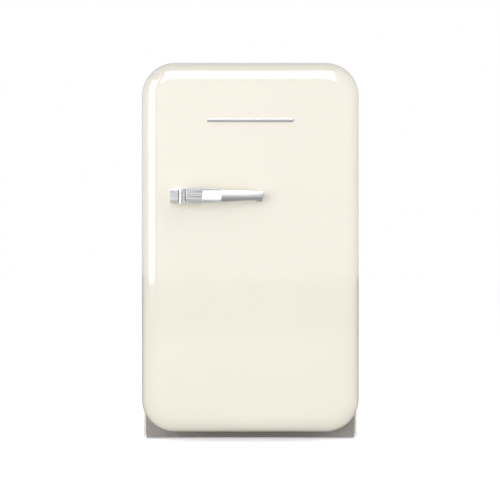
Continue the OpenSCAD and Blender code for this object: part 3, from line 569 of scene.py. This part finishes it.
board_green = finish_material("board_lacquer", mould_group, {
    "Colour": (0.03, 0.16, 0.07, 1), "Roughness": 0.35, "Grain": 2400.0, "Wear": 0.1, "Dust": 0.1},
    bump=0.00008)
paint(board_green, "lamp_board")
paint(white_plastic, "reed_switch")

# The knob: a moulded disc with finger grooves round its rim and a moulded pointer line.
finish(soften("temperature_knob", "thermostat_knob", 0.0006, 3, angle=40), white_plastic,
       "thermostat_knob", "knob", "white_plastic")

# ---------------------------------------------------------------------------------------------
# Hinges: pressed steel leaves on steel pins, zinc plated and held by screws. The screws elsewhere
# on the fridge have the same plating. The spring of the lever and the magnet are left bare.

zinc_plated = finish_material("zinc_plating", metal_group, {
    "Colour": (0.62, 0.63, 0.62, 1), "Roughness": 0.28, "Grain": 0.04, "Tarnish": 0.25,
    "Dust": 0.2}, bump=0.00003, Metallic=1.0)
for node, body in (("upper_cabinet_leaf", "cabinet"), ("lower_cabinet_leaf", "cabinet"),
                   ("upper_door_leaf", "door"), ("lower_door_leaf", "door"),
                   ("cabinet_leaf_screws", "cabinet"), ("door_leaf_screws", "door"),
                   ("hinge_pins", "cabinet"), ("bracket_screws", "cabinet"),
                   ("cover_screws", "cabinet"), ("handle_screws", "door")):
    finish(soften(node + "_plated", node, 0.0003, 2), zinc_plated, node, body, "zinc")
spring_wire = finish_material("spring_wire", metal_group, {
    "Colour": (0.42, 0.41, 0.4, 1), "Roughness": 0.3, "Tarnish": 0.3}, Metallic=1.0)
paint(spring_wire, "lever_spring")
magnet_block = finish_material("magnet_block", metal_group, {
    "Colour": (0.16, 0.16, 0.17, 1), "Roughness": 0.45, "Tarnish": 0.4}, Metallic=0.6)
paint(magnet_block, "switch_magnet")

# ---------------------------------------------------------------------------------------------
# Feet: black moulded pads with finger notches on threaded stems, in nuts under the base, and two
# plain glides at the back.

black_plastic = finish_material("black_plastic", mould_group, {
    "Colour": (0.022, 0.022, 0.024, 1), "Roughness": 0.48, "Grain": 1300.0, "Wear": 1.2,
    "Dust": 0.8}, bump=0.00006, strength=0.4)
for node, body in (("left_foot", "left_levelling_foot"), ("right_foot", "right_levelling_foot"),
                   ("rear_glides", "cabinet")):
    finish(soften(node + "_pad", node, 0.0009, 3, angle=40), black_plastic, node, body,
           "black_plastic")

# ---------------------------------------------------------------------------------------------
# Cooling unit: steel tube bent cold and welded into one sealed circuit, painted black. The boiler
# stands in a lagged jacket of bare sheet, and the condenser carries bare pressed fins.

black_enamel = finish_material("black_tube_paint", spray_group, {
    "Colour": (0.018, 0.018, 0.02, 1), "Roughness": 0.3, "Tone": 0.25, "Peel": 700.0, "Dust": 0.7},
    bump=0.00012, strength=0.4)
paint(black_enamel, "absorber_coil", "riser_pipe", "condenser_tube", "cold_pipes")
fin_steel = finish_material("fin_sheet", metal_group, {
    "Colour": (0.6, 0.61, 0.62, 1), "Roughness": 0.36, "Stretch": (60, 3, 60), "Grain": 0.06,
    "Tarnish": 0.2, "Dust": 0.5}, bump=0.00004, Metallic=1.0)
paint(fin_steel, "condenser_fins")


def turned_profile(name, start, axis, radii, steps):
    """A closed turned piece that starts at a place and runs along X (0) or Z (2). The radii
    list gives the distance along the axis and the radius there, from end to end."""
    bpy.ops.object.select_all(action="DESELECT")
    bpy.ops.mesh.primitive_circle_add(vertices=steps, radius=radii[0][1], fill_type="NGON")
    piece = bpy.context.object
    piece.name = name
    bpy.ops.object.mode_set(mode="EDIT")
    for (low, small), (high, large) in zip(radii, radii[1:]):
        bpy.ops.mesh.extrude_region_move(TRANSFORM_OT_translate={"value": (0, 0, high - low)})
        ratio = large / small
        bpy.ops.transform.resize(value=(ratio, ratio, 1),
                                 center_override=(0, 0, high - radii[0][0]))
    bpy.ops.mesh.select_all(action="SELECT")
    bpy.ops.mesh.normals_make_consistent(inside=False)
    bpy.ops.object.mode_set(mode="OBJECT")
    if axis == 0:
        piece.rotation_euler.y = math.radians(90)
    piece.location = start
    bpy.ops.object.transform_apply(location=True, rotation=True, scale=True)
    return piece


# The jacket: a rolled sheet with two raised beads near each end and dished, crimped end caps.
jacket_low, jacket_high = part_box("boiler_jacket")
jacket_middle = (jacket_low + jacket_high) / 2
jacket_radius = (jacket_high.x - jacket_low.x) / 2
jacket_tall = jacket_high.z - jacket_low.z
bead_height = 0.0012
crimp_height = 0.0004
cap_dish = 0.0025
wall_radius = jacket_radius - bead_height
crimp_radius = wall_radius + crimp_height
cap_end = [(cap_dish, jacket_radius - 0.007), (cap_dish, jacket_radius - 0.004),
           (0.0, jacket_radius - 0.003), (0.0, crimp_radius), (0.008, crimp_radius),
           (0.009, wall_radius)]
ring_shape = [(-0.004, wall_radius), (-0.002, jacket_radius - 0.0003), (0.0, jacket_radius),
              (0.002, jacket_radius - 0.0003), (0.004, wall_radius)]
jacket_radii = list(cap_end)
for ring_z in (0.03, 0.12, jacket_tall - 0.12, jacket_tall - 0.03):
    jacket_radii += [(ring_z + step, radius) for step, radius in ring_shape]
jacket_radii += [(jacket_tall - step, radius) for step, radius in reversed(cap_end)]
jacket = turned_profile("lagging_jacket", (jacket_middle.x, jacket_middle.y, jacket_low.z), 2,
                        jacket_radii, 72)
jacket_steel = finish_material("jacket_sheet", zinc_group, {
    "Colour": (0.62, 0.63, 0.63, 1), "Roughness": 0.37, "Spangle": 130.0, "Contrast": 0.07,
    "Dust": 0.5}, bump=0.00003, Metallic=0.9)
finish(jacket, jacket_steel, "boiler_jacket", "cabinet", "jacket_steel")

# The tank: a drawn tube with a dished end welded into each side.
finish(soften("ammonia_tank", "solution_tank", 0.0045, 5, angle=50), black_enamel, "solution_tank",
       "cabinet", "black_enamel")

# Weld beads where the pipes meet: each is a low ring round its tube.
pipe_low, pipe_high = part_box("riser_pipe")
pipe_radius = 0.007
weld_shape = [(0.0, pipe_radius - 0.0005), (0.0008, pipe_radius + 0.0009),
              (0.0022, pipe_radius + 0.0013), (0.0036, pipe_radius + 0.0009),
              (0.0044, pipe_radius - 0.0005)]
weld_inset = 0.004
weld_drop = 0.033
weld_rise = 0.006
upright_x = pipe_high.x - pipe_radius
weld_places = [((pipe_low.x + weld_inset, jacket_middle.y, pipe_high.z - pipe_radius), 0),
               ((upright_x, jacket_middle.y, pipe_high.z - weld_drop), 2),
               ((upright_x, jacket_middle.y, jacket_high.z + weld_rise), 2)]
for index, (place, axis) in enumerate(weld_places):
    ring = turned_profile(f"weld_bead_{index + 1}", place, axis, weld_shape, 40)
    close(ring, black_enamel)
    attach(ring, "cabinet")

# The drain: a bent white hose that drips into the warm recess.
finish(soften("drain_hose", "drain_tube", 0.0006, 2), white_plastic, "drain_tube", "cabinet",
       "white_plastic")

# ---------------------------------------------------------------------------------------------
# Junction box: a grey moulded box on the base panel where the mains lead comes in through a
# black gland, closed by a screwed cover.

grey_plastic = finish_material("grey_plastic", mould_group, {
    "Colour": (0.62, 0.63, 0.61, 1), "Roughness": 0.45, "Grain": 900.0, "Wear": 0.15, "Dust": 0.5},
    bump=0.00006, strength=0.4)
for name, node, material, slot, width in (
        ("mains_box", "junction_box", grey_plastic, "grey_plastic", 0.0012),
        ("mains_cover", "junction_cover", grey_plastic, "grey_plastic", 0.0008),
        ("mains_gland", "cord_gland", black_plastic, "black_plastic", 0.0008)):
    finish(soften(name, node, width, 3, angle=40), material, node, "cabinet", slot)

# ---------------------------------------------------------------------------------------------
# Door skin: drawn from one steel sheet into a shallow dish, so its front edge is a full soft
# curve and its four corners are domed. The rear edge is rolled in to a flat lip.

front_curve = 0.038
rear_curve = 0.004
rear_lip = 0.018

skin_low, skin_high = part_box("door_skin")
door = start_box("door_shell", skin_low, skin_high)
pick("EDGE", lambda edge: along(edge, 1))
bevel(wrap_corner, 24)
pick("EDGE", in_plane(1, skin_low.y))
bevel(front_curve, 20)
pick("EDGE", in_plane(1, skin_high.y))
bevel(rear_curve, 5)
pick("FACE", in_plane(1, skin_high.y))
bpy.ops.mesh.inset(thickness=rear_lip - rear_curve, use_even_offset=True)
pick("FACE", lambda face: in_plane(1, skin_high.y)(face) and len(face.verts) > skin_corners)
bpy.ops.mesh.delete(type="FACE")
bpy.ops.object.mode_set(mode="OBJECT")
modify(door, "SOLIDIFY", thickness=sheet, offset=-1, use_even_offset=True)
finish(door, cream_enamel, "door_skin", "door", "cream_enamel")

# ---------------------------------------------------------------------------------------------
# Badge strip, handle block, lever, its face plate and the pivot pin: zinc castings that are
# polished and chromed. The flutes are cast in, and every edge is rounded by the polishing.

handle_chrome = finish_material("handle_chrome", metal_group, {
    "Colour": (0.74, 0.745, 0.755, 1), "Roughness": 0.17, "Stretch": (3, 30, 30), "Grain": 0.03,
    "Tarnish": 0.03, "Dust": 0.05}, bump=0.00002, Metallic=1.0)
satin_chrome = finish_material("satin_chrome", metal_group, {
    "Colour": (0.78, 0.785, 0.79, 1), "Roughness": 0.3, "Stretch": (3, 30, 30), "Grain": 0.02,
    "Tarnish": 0.03, "Dust": 0.05}, bump=0.00002, Metallic=1.0)

base_low, base_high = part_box("handle_base")
arm_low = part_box("handle_lever")[0]
plate_low, plate_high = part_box("lever_face")
arm_middle = (base_low.z + base_high.z) / 2
pin_middle = sum(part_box("handle_pin"), Vector()) / 2
barrel_radius = pin_middle.y - base_low.y
flute_depth = 0.0009
flute_half = 0.0007
flute_pitch = 0.0032
flutes = [base_high.z - 0.0014 - flute_pitch * step for step in range(6)]


def cut_flutes():
    """Cuts the piece in edit mode along the middle and both edges of each flute."""
    for height in flutes:
        for step in (-flute_half, 0, flute_half):
            cut((0, 0, height + step), (0, 0, 1))


def in_flute(corner):
    """Whether a vertex lies on the middle line of a flute."""
    return any(abs(corner.co.z - height) < near for height in flutes)


# The fixed block: a fluted box whose right end is a fluted barrel round the pivot pin.
block_end_x = pin_middle.x - 0.006
stem_end_x = pin_middle.x + 0.004
block = start_box("handle_block", base_low, (block_end_x, base_high.y, base_high.z))
cut_flutes()
pick("VERT", lambda corner: in_flute(corner) and corner.co.y < base_low.y + near)
bpy.ops.transform.translate(value=(0, flute_depth, 0))
pick("VERT", lambda corner: in_flute(corner) and corner.co.x < base_low.x + near)
bpy.ops.transform.translate(value=(flute_depth, 0, 0))
bpy.ops.object.mode_set(mode="OBJECT")
bpy.ops.object.select_all(action="DESELECT")
bpy.ops.mesh.primitive_cylinder_add(
    vertices=64, radius=barrel_radius, depth=base_high.z - base_low.z,
    location=(pin_middle.x, pin_middle.y, arm_middle))
bpy.ops.object.transform_apply(location=True, rotation=True, scale=True)
barrel = bpy.context.object
bpy.ops.object.mode_set(mode="EDIT")
cut_flutes()
pick("VERT", in_flute)
waist = 1 - flute_depth / barrel_radius
bpy.ops.transform.resize(value=(waist, waist, 1), center_override=pin_middle)
bpy.ops.object.mode_set(mode="OBJECT")
stem = start_box("stem", (block_end_x, pin_middle.y, base_low.z),
                 (stem_end_x, base_high.y, base_high.z))
bpy.ops.object.mode_set(mode="OBJECT")
for part in (block, barrel, stem):
    part.select_set(True)
bpy.context.view_layer.objects.active = block
bpy.ops.object.join()
round_edges(block, 0.0004, 2, angle=65)
finish(block, satin_chrome, "handle_base", "door", "handle_chrome")

# The lever: a forked arm whose front is crowned from a ridge a little below its middle.
arm_ridge = arm_middle - 0.002
arm_half = 0.0095
arm_top_lean = 0.0009
arm_low_lean = 0.0026
arm_face_depth = 0.009
crown_step = 0.0018


def crown_arm():
    """Cuts the arm into level bands and leans its front back above and below the ridge."""
    for step in range(-4, 6):
        cut((0, 0, arm_middle + crown_step * step), (0, 0, 1))
    mesh = bmesh.from_edit_mesh(bpy.context.object.data)
    for height in sorted({round(corner.co.z, 5) for corner in mesh.verts}):
        rise = height - arm_ridge
        lean = (arm_top_lean if rise > 0 else arm_low_lean) * (rise / arm_half) ** 2
        pick("VERT", lambda corner: round(corner.co.z, 5) == height
             and corner.co.x > plate_high.x - 0.001
             and corner.co.y < arm_low.y + arm_face_depth)
        bpy.ops.transform.translate(value=(0, lean, 0))


finish(soften("lever_arm", "handle_lever", 0.0007, 3, angle=42, shape=crown_arm), satin_chrome,
       "handle_lever", "lever", "handle_chrome")

# Its face plate: fluted over its left half in line with the block, and plain beyond, where it
# leans back a little from the foot of its face up.
plain_length = 0.0345
plate_corner = 0.0025
plate_lean = 0.0021
plate_foot = 0.003
plate_proud = 0.00035
flute_run_out = 0.0004
plain_from_x = plate_high.x - plain_length
plate = start_box("lever_plate", plate_low, plate_high)
pick("EDGE", lambda edge: along(edge, 1) and middle(edge).x > plate_high.x - near)
bevel(plate_corner, 6)
cut_flutes()
for step in (0, flute_run_out):
    cut((plain_from_x + step, 0, 0), (1, 0, 0))
pick("VERT", lambda corner: in_flute(corner) and corner.co.y < plate_low.y + near
     and corner.co.x < plain_from_x + flute_run_out / 2)
bpy.ops.transform.translate(value=(0, flute_depth, 0))
plate_rise = plate_high.z - plate_low.z
plate_mesh = bmesh.from_edit_mesh(plate.data)
for height in sorted({round(corner.co.z, 6) for corner in plate_mesh.verts}):
    pick("VERT", lambda corner: abs(corner.co.z - height) < 0.00001
         and corner.co.x > plain_from_x + flute_run_out / 2
         and corner.co.y < plate_low.y + near)
    lean = plate_lean * max(0.0, (height - plate_low.z - plate_foot) / (plate_rise - plate_foot))
    bpy.ops.transform.translate(value=(0, lean - plate_proud, 0))
bpy.ops.object.mode_set(mode="OBJECT")
round_edges(plate, 0.0003, 2, angle=65)
finish(plate, satin_chrome, "lever_face", "lever", "handle_chrome")

finish(soften("pivot_pin", "handle_pin", 0.0006, 3), handle_chrome, "handle_pin", "door",
       "handle_chrome")
finish(soften("badge_bar", "badge_strip", 0.0011, 3), handle_chrome, "badge_strip", "door",
       "handle_chrome")

# ---------------------------------------------------------------------------------------------
# Door liner: one white plastic sheet, vacuum formed, whose raised wall pushes into the cabinet.
# Lugs on the wall's inner sides carry the racks. A soft gasket lies round the wall.

door_white = finish_material("door_liner_white", mould_group, {
    "Colour": (0.83, 0.84, 0.83, 1), "Roughness": 0.31, "Grain": 700.0, "Wear": 0.0, "Dust": 0.03},
    bump=0.00003, strength=0.25)
finish(soften("door_tub", "door_liner", 0.003, 4, angle=40), door_white, "door_liner", "door",
       "liner_white")
gasket_rubber = finish_material("gasket_vinyl", mould_group, {
    "Colour": (0.74, 0.735, 0.7, 1), "Roughness": 0.55, "Grain": 1500.0, "Lines": 0.0, "Wear": 0.0,
    "Dust": 0.1}, bump=0.00006, strength=0.4)
finish(soften("magnetic_gasket", "door_gasket", 0.0016, 4), gasket_rubber, "door_gasket", "door",
       "gasket_rubber")

# ---------------------------------------------------------------------------------------------
# Shelves: toughened glass with ground edges, in a white moulded trim at the front and the back,
# which slides on the ribs of the liner.

glass = bpy.data.materials.new("shelf_glass")
glass.use_nodes = True
glass_tree = glass.node_tree
glass_shader = glass_tree.nodes["Principled BSDF"]
wiped = noise(glass_tree, add_node(glass_tree, "TexCoord").outputs["Object"], 5.0, 22.0)
glass_tree.links.new(spread(glass_tree, wiped, 0.4, 0.7, 0.0, 0.06),
                     glass_shader.inputs["Roughness"])
green = blended(glass_tree, spread(glass_tree, wiped, 0.3, 0.8, 0.0, 1.0),
                (0.86, 0.95, 0.92, 1), (0.8, 0.91, 0.88, 1))
glass_tree.links.new(green, glass_shader.inputs["Base Color"])
glass_shader.inputs["Transmission Weight"].default_value = 0.96
glass_shader.inputs["IOR"].default_value = 1.5
for level in ("upper", "lower"):
    pane = soften(level + "_pane", level + "_shelf_glass", 0.0008, 3)
    finish(pane, glass, level + "_shelf_glass", level + "_shelf", "shelf_glass")
    edging = soften(level + "_edging", level + "_shelf_trim", 0.0012, 3)
    finish(edging, white_plastic, level + "_shelf_trim", level + "_shelf", "white_plastic")

# ---------------------------------------------------------------------------------------------
# Door racks: clear moulded troughs that hook over the lugs, each with a chromed wire rail in
# front that keeps tall bottles in.

clear_plastic = finish_material("clear_styrene", mould_group, {
    "Colour": (0.93, 0.95, 0.96, 1), "Roughness": 0.06, "Wear": 0.0, "Dust": 0.0}, bump=0.00002,
    strength=0.15, Transmission_Weight=0.88, IOR=1.5)
for level in ("upper", "lower"):
    trough = soften(level + "_trough", level + "_balcony", 0.0008, 3, angle=40)
    finish(trough, clear_plastic, level + "_balcony", level + "_door_rack", "clear_plastic")
    wire = soften(level + "_wire", level + "_balcony_rail", 0.0012, 3, angle=50)
    finish(wire, handle_chrome, level + "_balcony_rail", level + "_door_rack", "handle_chrome")

# ---------------------------------------------------------------------------------------------
# Studio: a wide pale floor under an even white surround. Two soft boxes, in front and on the
# left, show only in gloss, and four more light only what is matt.


def soft_light(name, place, target, width, height, power, matt=True, gloss=True):
    """A soft box, which may be left out of what matt or what glossy surfaces receive."""
    light = bpy.data.lights.new(name, "AREA")
    light.shape = "RECTANGLE"
    light.size, light.size_y = width, height
    light.energy = power
    holder = bpy.data.objects.new(name, light)
    bpy.context.scene.collection.objects.link(holder)
    place = Vector(place)
    holder.location = place
    holder.rotation_euler = (Vector(target) - place).to_track_quat("-Z", "Y").to_euler()
    holder.visible_camera = False
    holder.visible_diffuse = matt
    holder.visible_glossy = gloss


floor_half = 14.0
bpy.ops.object.select_all(action="DESELECT")
bpy.ops.mesh.primitive_plane_add(size=2 * floor_half, location=(0, 0, 0))
floor = bpy.context.object
floor.name = "studio_floor"
paper = bpy.data.materials.new("studio_paper")
paper.use_nodes = True
paper_tree = paper.node_tree
paper_shader = paper_tree.nodes["Principled BSDF"]
fibres = add_node(paper_tree, "TexNoise", Scale=60.0, Detail=3.0).outputs[0]
paper_rays = add_node(paper_tree, "LightPath").outputs
paper_colour = maths(paper_tree, "MULTIPLY",
                     spread(paper_tree, paper_rays["Is Glossy Ray"], 0.0, 1.0, 1.0, 0.42),
                     spread(paper_tree, fibres, 0.3, 0.7, 0.93, 0.95))
paper_tree.links.new(paper_colour, paper_shader.inputs["Base Color"])
paper_tree.links.new(maths(paper_tree, "MULTIPLY", paper_rays["Is Camera Ray"], 0.6),
                     paper_shader.inputs["Emission Strength"])
paper_shader.inputs["Emission Color"].default_value = (1, 1, 1, 1)
paper_shader.inputs["Roughness"].default_value = 0.9
paper_shader.inputs["Specular IOR Level"].default_value = 0.1
floor.data.materials.append(paper)

soft_light("front_box", (-0.24, -4.52, 4.80), (0, -0.23, 0.69), 4.5, 5.0, 370, matt=False)
soft_light("left_box", (-1.84, -1.17, 1.2), (-0.2, -0.2, 1.2), 1.25, 1.9, 34, matt=False)
soft_light("key_box", (-1.0, -2.85, 0.8), (0, -0.2, 0.35), 2.5, 1.5, 33, gloss=False)
soft_light("right_fill", (2.4, -1.2, 1.2), (0.1, 0, 0.4), 1.8, 1.8, 24, gloss=False)
soft_light("left_fill", (-2.4, -0.9, 0.9), (-0.1, 0, 0.35), 1.8, 1.8, 9, gloss=False)
soft_light("top_fill", (0, -0.6, 3.0), (0, 0, 0.6), 1.8, 1.8, 4, gloss=False)

world = bpy.data.worlds.new("studio")
world.use_nodes = True
surround = world.node_tree
surround.nodes["Background"].inputs["Color"].default_value = (1, 1, 1, 1)
rays = add_node(surround, "LightPath").outputs
strength = maths(surround, "ADD", spread(surround, rays["Is Camera Ray"], 0.0, 1.0, 0.42, 1.0),
                 maths(surround, "MULTIPLY", rays["Is Glossy Ray"], 0.2))
surround.links.new(strength, surround.nodes["Background"].inputs["Strength"])
bpy.context.scene.world = world

# Camera: square to the front, a little below the middle of the door's height.
eye = bpy.data.cameras.new("front_camera")
eye.sensor_width = 36.0
eye.lens = 96.5
camera = bpy.data.objects.new("front_camera", eye)
camera.location = (-0.0006, -2.694, 0.3594)
camera.rotation_euler = (math.radians(90), 0, 0)
bpy.context.scene.collection.objects.link(camera)
bpy.context.scene.camera = camera
bpy.context.scene.view_settings.view_transform = "Standard"
